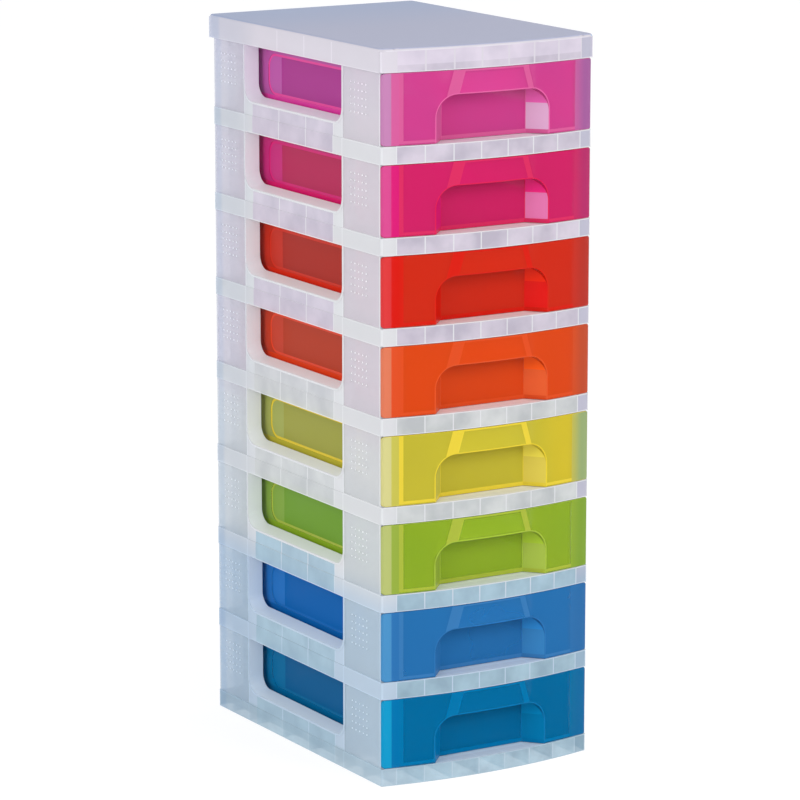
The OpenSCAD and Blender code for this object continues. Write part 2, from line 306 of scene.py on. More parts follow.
# Painted blue cast of the blue drawers, with painted shade, low on the frames
LOW_BLUE_CAST_AND_SHADE = PaintedLightGradient(Axis.UP, *BLUE_CAST_FADE, before=(0.70, 0.85, 1.0))

# Painted colour cast and shade shared by the frames: a lilac cast on top, the front of the bow
# darker, and painted shade growing darker and bluer towards the rear
SHARED_PAINTED_LIGHT = (
    PaintedLightGradient(Axis.UP, 0.76, 0.90, after=(1.0, 0.94, 1.0)),
    PaintedLightGradient(Axis.REARWARD, -0.206, -0.200, before=(0.87, 0.87, 0.88)),
    PaintedLightGradient(Axis.REARWARD, 0.08, 0.16, after=(0.88, 0.91, 0.95)),
    PaintedLightGradient(Axis.REARWARD, 0.188, 0.198, after=(0.85, 0.91, 0.98)),
)

FOOT_SHADE = PaintedLightGradient(Axis.UP, 0.022, 0.026, before=(0.80, 0.86, 0.84))

# Painted blue cast low down, painted foot shade and the shared painted light
MILKY_PAINTED_LIGHT = (LOW_BLUE_CAST_AND_SHADE, FOOT_SHADE, *SHARED_PAINTED_LIGHT)

# Painted blue-green cast low down and painted foot shade on the darker right-hand ends
FAR_PAINTED_SHADE = (PaintedLightGradient(Axis.UP, *BLUE_CAST_FADE, before=(0.63, 0.93, 0.97)), FOOT_SHADE)

# Painted blue cast low down and the shared painted light, on the pale reveals
REVEAL_PAINTED_LIGHT = (PaintedLightGradient(Axis.UP, *BLUE_CAST_FADE, before=(0.80, 0.89, 0.97)), *SHARED_PAINTED_LIGHT)

# Painted blue cast low down, the shared painted light, painted shade fading out up the fourth
# tier, a painted lilac cast above it and less of it on the top tiers
WALL_PAINTED_LIGHT = (
    PaintedLightGradient(Axis.UP, *BLUE_CAST_FADE, before=(0.75, 0.88, 1.0)),
    *SHARED_PAINTED_LIGHT,
    PaintedLightGradient(Axis.UP, 0.25, 0.42, before=(0.93, 0.965, 0.97)),
    PaintedLightGradient(Axis.UP, 0.40, 0.47, after=(1.0, 0.92, 0.98)),
    PaintedLightGradient(Axis.UP, 0.76, 0.84, after=(1.0, 1.06, 1.02)),
)

# Painted blue cast low down and painted lilac cast high up in the bays
BAY_PAINTED_CAST = (
    PaintedLightGradient(Axis.UP, 0.25, 0.31, before=(0.61, 0.84, 1.0)),
    PaintedLightGradient(Axis.UP, 0.44, 0.56, after=(1.0, 0.88, 1.03)),
)


def milky(name: str, light: float, alpha: float, light_gradients: tuple[PaintedLightGradient, ...] = MILKY_PAINTED_LIGHT) -> Moulded:
    """Makes one milky plastic of the frames.

    Args:
        name: The name of the place that it covers.
        light: How light it is, from 0 to 1.
        alpha: How much of what is behind one skin stays hidden.
        light_gradients: The painted light, shade and colour casts over the tower.

    Returns:
        The plastic, with a painted blue cast low down, painted shade at the rear and a faint
        painted lilac cast on top.
    """
    colour = (light - 0.02, light - 0.01, light)
    shade = (light + 0.04, light + 0.045, light + 0.05)
    looks = {"roughness": 0.36, "gloss": 0.3}
    return Moulded(f"milky_{name}", colour, shade, alpha=alpha, light_gradients=light_gradients, **looks)


def shade_clouded(name: str, colour: Colour, shade: Colour, alpha: float) -> Moulded:
    """Makes the plastic of the bays between ribs, with soft clouds of painted shade.

    Args:
        name: The name of the place that it covers.
        colour: The light parts of the clouds.
        shade: The dark parts of the clouds.
        alpha: How much of what is behind one skin stays hidden.

    Returns:
        The plastic, with a painted blue cast low down and a painted lilac cast high up.
    """
    looks = {"roughness": 0.36, "gloss": 0.25, "mottle_scale": 26.0, "contrast": 3.0}
    return Moulded(f"milky_{name}", colour, shade, alpha=alpha, light_gradients=BAY_PAINTED_CAST, **looks)


FRAME_COLOUR_AND_PAINTED_LIGHT = ColourAndPaintedLight(
    {
        Face.WALL: milky("wall", 0.85, 0.42, WALL_PAINTED_LIGHT),
        # Painted highlights: pale lines on edges, ribs and lips
        Face.EDGE: milky("edge", 0.80, 0.80),
        # Reveals, shelf ribs and dots painted pale against their shade
        Face.WEB: milky("reveal_painted_light", 0.96, 0.95, REVEAL_PAINTED_LIGHT),
        # Paler rail band: partly thicker plastic, partly painted light
        Face.BAND: milky("band", 0.76, 0.75),
        # Bays between ribs with painted clouds of shade
        Face.BAY: shade_clouded("bay_painted_shade", (0.65, 0.67, 0.66), (0.47, 0.49, 0.50), 0.75),
        # Lighter bays: painted glow with painted clouds of shade
        Face.GLOW: shade_clouded("light_bay", (0.71, 0.73, 0.72), (0.58, 0.60, 0.61), 0.75),
        # Right-hand ends: painted shade, darker and bluer
        Face.FAR: Moulded(
            "milky_far_painted_shade",
            display(176, 175, 193),
            display(184, 182, 199),
            alpha=0.75,
            gloss=0.3,
            light_gradients=FAR_PAINTED_SHADE,
        ),
        # Shelf edges painted pale against their shade
        Face.NOOK: milky("shelf_edge_painted_light", 0.92, 0.92, REVEAL_PAINTED_LIGHT),
    }
)

COVER_COLOUR_AND_PAINTED_LIGHT = ColourAndPaintedLight(
    {
        **FRAME_COLOUR_AND_PAINTED_LIGHT.plastics,
        Face.END: Moulded(
            "matt_cover",
            (0.355, 0.37, 0.50),
            (0.395, 0.41, 0.535),
            alpha=0.97,
            roughness=0.5,
            gloss=0.3,
            grain_scale=1400.0,
            grain_height=0.00004,
            # Painted shade: the matt top turns darker and bluer towards the rear
            light_gradients=(PaintedLightGradient(Axis.REARWARD, -0.05, 0.213, after=(0.86, 0.96, 1.03)),),
        ),
        # Painted shade on the rounded top edge where it faces to the right and to the rear
        Face.LINE: Moulded(
            "cover_far_edge_painted_shade",
            display(140, 170, 208),
            display(150, 178, 212),
            alpha=0.9,
            gloss=0.3,
        ),
    }
)


@dataclass(frozen=True)
class ClearColour:
    """The plastics of one drawer colour.

    The end and the far strip lie on the columns, the glow and the band beside
    them. The flare is the lower part of the right splayed side of the finger
    recess, and the nook the part over it. The field, side, line and foot are on
    the box. The edge, end, glow and band are painted highlights and glows, the
    far strip painted shade, the flare painted light with a painted reflection,
    the nook and the foot painted paler against their shade, the side a paler
    painted halo and the line a painted highlight.
    """

    name: str
    alpha: float
    wall: Colour
    shade: Colour
    edge: Colour
    end: Colour
    glow: Colour
    band: Colour
    flare: Colour
    far: Colour
    far_edge: Colour
    field: Colour
    side: Colour
    line: Colour
    foot: Colour
    nook: Colour
    wall_light_gradients: tuple[PaintedLightGradient, ...] = ()
    gloss: float = 0.12
    skin_alpha: float = 0.85
    skin_share: float = 0.84
    far_from: float = 0.122
    far_to: float = 0.139

    def plastic(
        self,
        place: str,
        colour: Colour,
        shade: Colour | None = None,
        **more: float | tuple[PaintedLightGradient, ...],
    ) -> Moulded:
        """Makes the plastic of one place; more holds any field that differs."""
        looks = {"alpha": self.skin_alpha, "roughness": 0.22, "gloss": self.gloss, **more}
        return Moulded(f"clear_{self.name}_{place}", colour, shade or colour, **looks)

    def lit(self, colour: Colour) -> Colour:
        """Dims the colour of a full skin, which sends back more light than a clear one."""
        return tuple(self.skin_share * part for part in colour)

    def colour_and_painted_light(self) -> ColourAndPaintedLight:
        """Makes the finish of a drawer.

        Returns:
            The finish with all its plastics.
        """
        # The far strip fades to a darker colour towards the right end: painted shade
        fade = tuple(edge / start for edge, start in zip(self.far_edge, self.far))
        far_shade_gradients = (PaintedLightGradient(Axis.ACROSS, self.far_from, self.far_to, after=fade),)
        clear = {"alpha": self.alpha, "light_gradients": self.wall_light_gradients}
        return ColourAndPaintedLight(
            {
                Face.WALL: self.plastic("wall", self.wall, self.shade, **clear),
                Face.EDGE: self.plastic("edge", self.lit(self.edge)),
                Face.WEB: self.plastic("flare", self.flare),
                Face.END: self.plastic("end", self.end, alpha=0.7),
                Face.GLOW: self.plastic("glow", self.lit(self.glow)),
                Face.BAND: self.plastic("band", self.lit(self.band)),
                Face.FAR: self.plastic("far", self.lit(self.far), light_gradients=far_shade_gradients),
                Face.FIELD: self.plastic("field", self.field),
                Face.SIDE: self.plastic("side", self.side),
                Face.LINE: self.plastic("line", self.line),
                Face.FOOT: self.plastic("foot", self.foot),
                Face.NOOK: self.plastic("nook", self.nook),
            }
        )


# Apart from the wall, its shade and the field, these colours are painted light: edge, end, glow,
# band, flare, side, line, foot and nook paler, far and far_edge darker with painted shade
DRAWER_COLOURS: dict[Tone, ClearColour] = {
    Tone.DEEP_BLUE: ClearColour(
        "deep_blue",
        alpha=0.62,
        wall=display(1, 114, 167),
        shade=display(1, 108, 160),
        edge=display(20, 126, 182),
        end=display(8, 158, 206),
        glow=display(1, 122, 182),
        band=display(2, 124, 180),
        flare=display(1, 120, 171),
        far=display(1, 116, 168),
        far_edge=display(1, 108, 164),
        field=display(1, 96, 150),
        side=display(8, 114, 164),
        line=display(8, 112, 164),
        foot=display(6, 108, 160),
        nook=display(1, 135, 189),
        gloss=0.03,
    ),
    Tone.MID_BLUE: ClearColour(
        "mid_blue",
        alpha=0.60,
        wall=display(44, 121, 185),
        shade=display(40, 115, 180),
        edge=display(52, 122, 186),
        end=display(76, 148, 200),
        glow=display(50, 120, 184),
        band=display(62, 128, 188),
        flare=display(58, 131, 189),
        far=display(46, 116, 178),
        far_edge=display(44, 112, 174),
        field=display(0, 100, 178),
        side=display(38, 118, 196),
        line=display(24, 110, 190),
        foot=display(16, 104, 182),
        nook=display(51, 141, 209),
        gloss=0.03,
    ),
    Tone.LIME: ClearColour(
        "lime",
        alpha=0.52,
        wall=display(162, 190, 42),
        shade=display(142, 180, 38),
        edge=display(172, 196, 70),
        end=display(186, 194, 114),
        glow=display(156, 180, 66),
        band=display(178, 192, 64),
        flare=display(168, 190, 73),
        far=display(146, 176, 46),
        far_edge=display(130, 166, 44),
        field=display(112, 160, 34),
        side=display(136, 172, 64),
        line=display(176, 192, 66),
        foot=display(150, 186, 44),
        nook=display(172, 202, 52),
    ),
    Tone.YELLOW: ClearColour(
        "yellow",
        alpha=0.56,
        wall=display(214, 200, 54),
        shade=display(198, 186, 54),
        edge=display(240, 214, 56),
        end=display(214, 208, 138),
        glow=display(206, 198, 84),
        band=display(240, 214, 62),
        flare=display(220, 200, 80),
        far=display(194, 188, 84),
        far_edge=display(152, 174, 116),
        field=display(164, 164, 66),
        side=display(172, 178, 92),
        line=display(240, 212, 60),
        foot=display(208, 196, 64),
        nook=display(238, 220, 79),
        # Painted light: the yellow wall grows lighter and warmer towards the right
        wall_light_gradients=(PaintedLightGradient(Axis.ACROSS, 0.05, 0.11, after=(1.16, 1.06, 0.75)),),
    ),
    Tone.ORANGE: ClearColour(
        "orange",
        alpha=0.66,
        wall=display(226, 73, 8),
        shade=display(218, 67, 10),
        edge=display(232, 88, 40),
        end=display(224, 122, 86),
        glow=display(230, 80, 32),
        band=display(230, 80, 30),
        flare=display(229, 94, 44),
        far=display(216, 76, 22),
        far_edge=display(196, 72, 32),
        field=display(186, 54, 18),
        side=display(206, 66, 42),
        line=display(240, 74, 44),
        foot=display(248, 72, 30),
        nook=display(250, 92, 13),
    ),
    Tone.RED: ClearColour(
        "red",
        alpha=0.66,
        wall=display(212, 38, 10),
        shade=display(206, 40, 14),
        edge=display(222, 30, 12),
        end=display(220, 52, 52),
        glow=display(222, 18, 2),
        band=display(222, 24, 4),
        flare=display(223, 18, 12),
        far=display(202, 42, 20),
        far_edge=display(186, 42, 24),
        field=display(176, 34, 16),
        side=display(206, 48, 28),
        line=display(222, 50, 28),
        foot=display(240, 48, 22),
        nook=display(241, 42, 8),
    ),
    Tone.RASPBERRY: ClearColour(
        "raspberry",
        alpha=0.62,
        wall=display(216, 28, 104),
        shade=display(206, 30, 98),
        edge=display(228, 28, 84),
        end=display(216, 72, 142),
        glow=display(224, 24, 120),
        band=display(224, 44, 98),
        flare=display(224, 118, 172),
        far=display(204, 34, 98),
        far_edge=display(184, 36, 102),
        field=display(188, 30, 86),
        side=display(208, 46, 126),
        line=display(226, 34, 124),
        foot=display(240, 30, 116),
        nook=display(235, 33, 126),
    ),
    Tone.PINK: ClearColour(
        "pink",
        alpha=0.50,
        wall=display(232, 62, 146),
        shade=display(210, 72, 154),
        edge=display(230, 104, 166),
        end=display(196, 130, 178),
        glow=display(218, 96, 158),
        band=display(220, 94, 154),
        flare=display(216, 166, 200),
        far=display(196, 94, 158),
        far_edge=display(166, 92, 156),
        field=display(176, 50, 144),
        side=display(196, 92, 172),
        line=display(244, 74, 164),
        foot=display(244, 66, 172),
        nook=display(225, 93, 171),
    ),
}


def new_piece(name: str, mesh: bmesh.types.BMesh) -> bpy.types.Object:
    """Turns a finished bmesh into an object at the origin.

    Args:
        name: The piece's name.
        mesh: The shape, which is freed.

    Returns:
        The new object, linked to the scene.
    """
    data = bpy.data.meshes.new(name)
    mesh.to_mesh(data)
    mesh.free()
    piece = bpy.data.objects.new(name, data)
    bpy.context.scene.collection.objects.link(piece)
    return piece


@dataclass
class Moulding:
    """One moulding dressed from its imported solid.

    Lengths are in metres. Places on the moulding are measured from the middle
    of its width, from the front corners of the tower and from its own foot.
    """

    node: str
    body: str
    slot: str
    colour_and_painted_light: ColourAndPaintedLight
    foot: float
    front_corner: float = -0.20425
    bow: float = 0.0165
    half_width: float = 0.150
    merge: float = 0.002 * MILLIMETRE
    close: float = 0.05 * MILLIMETRE
    flat_angle: float = math.radians(0.6)
    sharp_angle: float = math.radians(32.0)
    edge_width: float = 0.45 * MILLIMETRE
    edge_segments: int = 2
    short_edge: float = 0.6 * MILLIMETRE
    even_weight: int = 50
    packed_surface: BVHTree | None = None

    def place(self, point: Vector) -> Vector:
        """Gives a point measured from the front corners and the foot."""
        return Vector((point.x, point.y - self.front_corner, point.z - self.foot))

    def middle(self, face: bmesh.types.BMFace) -> Vector:
        """Gives the middle of a face, measured as in place."""
        return self.place(face.calc_center_median())

    def bow_front(self, x: float) -> float:
        """Gives how far behind the front corners the bowed front lies at x."""
        radius = (self.half_width**2 + self.bow**2) / (2 * self.bow)
        return radius - self.bow - math.sqrt(max(radius**2 - x**2, 0.0))

    def solid_copy(self) -> bmesh.types.BMesh:
        """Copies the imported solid, closes its mesh and joins its flat faces.

        Returns:
            The shape with whole flat faces.
        """
        shape = bmesh.new()
        shape.from_mesh(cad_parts[self.node].data)
        self.packed_surface = BVHTree.FromBMesh(shape)
        bmesh.ops.remove_doubles(shape, verts=shape.verts, dist=self.merge)
        bmesh.ops.dissolve_limit(
            shape,
            angle_limit=self.flat_angle,
            verts=shape.verts,
            edges=shape.edges,
        )
        for face in shape.faces:
            face.material_index = Face.WALL.value
        return shape

    def is_sharp(self, edge: bmesh.types.BMEdge) -> bool:
        """Says whether an edge is a real corner of the moulding."""
        return len(edge.link_faces) == 2 and edge.calc_face_angle(0.0) > self.sharp_angle

    def round_edges(
        self,
        shape: bmesh.types.BMesh,
        chosen: Callable[[bmesh.types.BMEdge], bool] = lambda edge: True,
    ) -> None:
        """Rounds chosen sharp edges and gives the new faces the pale edge plastic, a painted
        highlight.

        Args:
            shape: The shape to round.
            chosen: Picks the edges to round among the sharp ones.
        """
        edges = [
            edge
            for edge in shape.edges
            if self.is_sharp(edge) and edge.calc_length() > self.short_edge and chosen(edge)
        ]
        rounded = bmesh.ops.bevel(
            shape,
            geom=edges,
            offset=self.edge_width,
            offset_type="OFFSET",
            segments=self.edge_segments,
            profile=0.5,
            affect="EDGES",
            clamp_overlap=False,
            material=-1,
        )
        # Painted highlight on every rounding
        for face in rounded["faces"]:
            face.material_index = Face.EDGE.value
        self.tuck_in(rounded["verts"])

    def tuck_in(self, corners: list[bmesh.types.BMVert]) -> None:
        """Moves corners of a rounding that stand off the solid back onto it.

        A corner may lie as far from the solid as the rounding is wide, but not
        outside its box.

        Args:
            corners: The corners of the rounding.
        """
        lowest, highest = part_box(self.node)
        for corner in corners:
            nearest, _, _, distance = self.packed_surface.find_nearest(corner.co)
            if distance > self.edge_width:
                corner.co = nearest
            for axis in Axis:
                inside = max(corner.co[axis.value], lowest[axis.value])
                corner.co[axis.value] = min(inside, highest[axis.value])

    def split(
        self,
        shape: bmesh.types.BMesh,
        faces: list[bmesh.types.BMFace],
        point: Vector,
        normal: Vector,
    ) -> None:
        """Divides faces along one plane.

        Args:
            shape: The shape that the faces are part of.
            faces: The faces to divide.
            point: A point of the plane.
            normal: The normal of the plane.
        """
        edges = {edge for face in faces for edge in face.edges}
        corners = {corner for face in faces for corner in face.verts}
        bmesh.ops.bisect_plane(
            shape,
            geom=[*faces, *edges, *corners],
            dist=self.merge,
            plane_co=point,
            plane_no=normal,
        )

    def cut(
        self,
        shape: bmesh.types.BMesh,
        axis: Axis,
        places: list[float],
        chosen: Callable[[bmesh.types.BMFace], bool] = lambda face: True,
    ) -> None:
        """Divides faces square to an axis, so that each side may have its finish.

        Args:
            shape: The shape to divide.
            axis: The axis that the planes cross.
            places: Where the planes lie, measured as in place.
            chosen: Picks the faces to divide.
        """
        origin = Vector((0.0, self.front_corner, self.foot))
        normal = Vector((0.0, 0.0, 0.0))
        normal[axis.value] = 1.0
        for at in places:
            faces = [face for face in shape.faces if chosen(face)]
            self.split(shape, faces, origin + at * normal, normal)

    def colour_and_painted_light_of(self, at: Vector, facing: Vector) -> Face:
        """Chooses the finish of a plain wall face.

        Args:
            at: Middle of the face, measured as in place; not used.
            facing: Normal of the face; not used.

        Returns:
            The finish of that face.
        """
        return Face.WALL

    def sort_faces(self, shape: bmesh.types.BMesh) -> None:
        """Gives each face that isn't a rounding the finish of its place.

        Args:
            shape: The shape to sort.
        """
        shape.normal_update()
        for face in shape.faces:
            if face.material_index == Face.WALL.value:
                face.material_index = self.colour_and_painted_light_of(self.middle(face), face.normal).value

    def shape(self) -> bmesh.types.BMesh:
        """Makes the dressed shape.

        Returns:
            The shape with rounded edges.
        """
        made = self.solid_copy()
        self.round_edges(made)
        self.sort_faces(made)
        return made

    def build(self) -> bpy.types.Object:
        """Builds the piece, dresses it and sets it on its body.

        Returns:
            The finished piece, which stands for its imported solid.
        """
        made = self.shape()
        for face in made.faces:
            face.smooth = True
        piece = new_piece(f"{self.node}_moulding", made)
        even = piece.modifiers.new("even_shading", "WEIGHTED_NORMAL")
        even.mode = "FACE_AREA"
        even.weight = self.even_weight
        self.colour_and_painted_light.dress(piece)
        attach(piece, self.body)
        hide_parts(self.node)
        log.info("%s: %d faces", piece.name, len(piece.data.polygons))
        return piece


@dataclass
class RibbedMoulding(Moulding):
    """A moulding whose ribs and lips show as pale lines on its outer skin: painted highlights."""

    depth: float = 0.417
    skin: float = 0.1493
    rib_line: float = 0.75 * MILLIMETRE
    rib_pitch: float = 37.7 * MILLIMETRE
    rib_count: int = 6
    cross_rib_front: float = 46.8 * MILLIMETRE
    cross_rib_pitch: float = 67.0 * MILLIMETRE
    shown_cross_ribs: tuple[int, ...] = (1, 2, 3)
    inner_skin: float = 0.130
    skin_line: float = 1.4 * MILLIMETRE
    band_height: float = 22.0 * MILLIMETRE
    lip_line: float = 1.2 * MILLIMETRE
    corner_turn: float = 0.35
    corner_rise: float = 0.2
    skin_reach: float = 0.1 * MILLIMETRE

    def rib_spans(self) -> Spans:
        """Lists the widths that the front to back ribs take on the front.

        Returns:
            The two sides of each rib and of the two inner skins.
        """
        middle = (self.rib_count - 1) / 2
        ribs = [(i - middle) * self.rib_pitch for i in range(self.rib_count)]
        spans = [(x - self.rib_line, x + self.rib_line) for x in ribs]
        inner, outer = self.inner_skin, self.inner_skin + self.skin_line
        return [(-outer, -inner), *spans, (inner, outer)]

    def cross_rib_spans(self) -> Spans:
        """Lists the depths that the side to side ribs take on a side."""
        ribs = [self.cross_rib_front + i * self.cross_rib_pitch for i in self.shown_cross_ribs]
        return [(y - self.rib_line, y + self.rib_line) for y in ribs]

    def on_side(self, at: Vector, facing: Vector) -> bool:
        """Says whether a face lies on the outer skin of a side."""
        return abs(facing.x) > SQUARE and abs(at.x) > self.skin - self.skin_reach

    def on_corner(self, facing: Vector) -> bool:
        """Says whether a face lies on the rounding of a front corner."""
        turned = abs(facing.x) > self.corner_turn and facing.y < -self.corner_turn
        return turned and abs(facing.z) < self.corner_rise

    def on_front(self, at: Vector, facing: Vector) -> bool:
        """Says whether a face lies on the bowed front skin."""
        return facing.y < -TOWARDS and at.y < self.bow_front(at.x) + MILLIMETRE

    def on_rear(self, at: Vector, facing: Vector) -> bool:
        """Says whether a face lies on the rear skin."""
        return facing.y > SQUARE and at.y > self.depth - self.skin_reach

    def between_ribs(self, at: Vector) -> Face:
        """Chooses the finish of the front and the rear of the band by the width.

        Args:
            at: Middle of the face, measured as in place.

        Returns:
            Pale lines on the ribs as painted highlights, bays with painted shade between them, and
            the two end pieces, the right one painted darker as shade.
        """
        if within(at.x, self.rib_spans()):
            return Face.EDGE
        if abs(at.x) < self.inner_skin:
            return Face.BAY
        return Face.FAR if at.x > 0 else Face.BAND

    def cut_ribs(self, shape: bmesh.types.BMesh) -> None:
        """Divides the skin of a shape along both sides of every rib."""
        self.cut(shape, Axis.ACROSS, [x for span in self.rib_spans() for x in span])
        self.cut(shape, Axis.REARWARD, [y for span in self.cross_rib_spans() for y in span])


@dataclass
class TierFrame(RibbedMoulding):
    """A tier frame with its window lips and its grids of small raised dots."""

    window_front: float = 93.0 * MILLIMETRE
    window_rear: float = 335.0 * MILLIMETRE
    window_sill: float = 39.5 * MILLIMETRE
    jamb_line: float = 2.0 * MILLIMETRE
    lip_proud: float = 0.6 * MILLIMETRE
    shelf_front: float = 12.0 * MILLIMETRE
    corner_glow: float = 5.0 * MILLIMETRE
    dot_radius: float = 1.05 * MILLIMETRE
    dot_height: float = 0.35 * MILLIMETRE
    dot_pitch: float = 8.9 * MILLIMETRE
    dot_rows: int = 5
    dot_foot: float = 57.0 * MILLIMETRE
    dot_fronts: tuple[float, float] = (36.0 * MILLIMETRE, 360.0 * MILLIMETRE)
    dot_segments: int = 8
    dot_rings: int = 6
    reveal_foot: float = 4.0 * MILLIMETRE

    def cross_rib_spans(self) -> Spans:
        """Lists the cross ribs and the foot of each window jamb.

        Returns:
            The front and the rear of each.
        """
        jambs = [(self.window_front - self.jamb_line, self.window_front)]
        jambs.append((self.window_rear, self.window_rear + self.jamb_line))
        return [*super().cross_rib_spans(), *jambs]

    def bay_ends(self) -> tuple[float, float]:
        """Gives the depths of the foremost and the rearmost rib of a side's bays.

        Returns:
            The two depths, measured as in place.
        """
        first = self.cross_rib_front + self.shown_cross_ribs[0] * self.cross_rib_pitch
        last = self.cross_rib_front + (self.shown_cross_ribs[-1] + 1) * self.cross_rib_pitch
        return first, last

    def under_window(self, at: Vector) -> bool:
        """Says whether a place on a side lies under the window, jambs included."""
        front, rear = self.window_front - self.jamb_line, self.window_rear + self.jamb_line
        return front < at.y < rear and at.z < self.window_sill

    def on_wall(self, at: Vector) -> Face:
        """Chooses the finish on the outer skin of a side.

        Args:
            at: Middle of the face, measured as in place.

        Returns:
            Pale lines on lips and ribs as painted highlights, bays under the window with painted
            shade and painted glow, and a pale foot band, partly painted light.
        """
        if at.z < self.lip_line:
            return Face.EDGE
        if self.under_window(at):
            if within(at.y, self.cross_rib_spans()):
                return Face.EDGE
            first, last = self.bay_ends()
            return Face.GLOW if first < at.y < last else Face.BAND
        if at.z > self.band_height:
            # A painted highlight down the front corner of each side
            return Face.EDGE if at.y < self.corner_glow else Face.WALL
        return Face.EDGE if at.z > self.band_height - self.lip_line else Face.BAND

    def colour_and_painted_light_of(self, at: Vector, facing: Vector) -> Face:
        """Chooses the finish of a face of the frame.

        Args:
            at: Middle of the face, measured as in place.
            facing: Normal of the face.

        Returns:
            Pale lines on the band and the lips as painted highlights, bays with painted
            shade, shelf edges and window reveals painted pale against their shade, and
            the wall anywhere else.
        """
        on_band = 0.0 <= at.z <= self.band_height + MILLIMETRE
        if at.z > self.band_height and abs(at.x) > self.skin + self.lip_proud / 2:
            return Face.EDGE
        if self.on_side(at, facing):
            return self.on_wall(at)
        # Painted highlight on the rounded front corners of the band
        if on_band and self.on_corner(facing):
            return Face.EDGE
        if on_band and (self.on_front(at, facing) or self.on_rear(at, facing)):
            on_lip = at.z < self.lip_line or at.z > self.band_height - self.lip_line
            return Face.EDGE if on_lip else self.between_ribs(at)
        on_shelf = facing.z > SQUARE and on_band and at.y < self.shelf_front
        # Shelf edges and ribs painted pale against the shade under the drawer
        if on_shelf and abs(at.x) < self.inner_skin:
            return Face.WEB if within(at.x, self.rib_spans()) else Face.NOOK
        in_window = self.window_front - MILLIMETRE < at.y < self.window_rear + MILLIMETRE
        in_side = self.inner_skin < abs(at.x) < self.skin
        # Window reveals painted pale against their shade
        if in_window and in_side and at.z > self.band_height + self.reveal_foot:
            return Face.WEB
        return Face.WALL

    def free_step(self, shape: bmesh.types.BMesh) -> None:
        """Takes the painted highlight of the rounding off the step of the rail under the windows.

        Args:
            shape: The shape of the frame.
        """
        for face in shape.faces:
            at = self.middle(face)
            at_step = abs(at.z - self.band_height) < MILLIMETRE
            on_step = at_step and abs(at.x) > self.skin - MILLIMETRE
            if on_step and self.under_window(at):
                face.material_index = Face.WALL.value

    def shape(self) -> bmesh.types.BMesh:
        """Makes the frame with rounded edges and pale lines of painted highlight.

        Returns:
            The shape, its faces divided and sorted by finish.
        """
        made = self.solid_copy()
        self.round_edges(made)
        self.cut(made, Axis.UP, [self.lip_line, self.band_height - self.lip_line])
        self.cut_ribs(made)
        self.cut(made, Axis.REARWARD, [self.corner_glow, self.shelf_front, self.bay_ends()[1]])
        self.free_step(made)
        self.sort_faces(made)
        return made

    def dots(self) -> bpy.types.Object:
        """Builds the grids of dots on both side walls.

        Returns:
            The dots of this tier as one piece.
        """
        shape = bmesh.new()
        flatten = Matrix.Diagonal((self.dot_height / self.dot_radius, 1.0, 1.0, 1.0))
        for side in (-1, 1):
            for start in self.dot_fronts:
                for row in range(self.dot_rows):
                    for column in range(self.dot_rows):
                        spot = Vector(
                            (
                                side * self.skin,
                                self.front_corner + start + column * self.dot_pitch,
                                self.foot + self.dot_foot + row * self.dot_pitch,
                            )
                        )
                        bmesh.ops.create_uvsphere(
                            shape,
                            u_segments=self.dot_segments,
                            v_segments=self.dot_rings,
                            radius=self.dot_radius,
                            matrix=Matrix.Translation(spot) @ flatten,
                        )
        for face in shape.faces:
            face.smooth = True
        piece = new_piece(f"{self.node}_dots", shape)
        # The dots take the pale plastic of the reveals: painted highlights on them
        piece.data.materials.append(self.colour_and_painted_light.plastic(Face.WEB).material())
        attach(piece, self.body)
        return piece


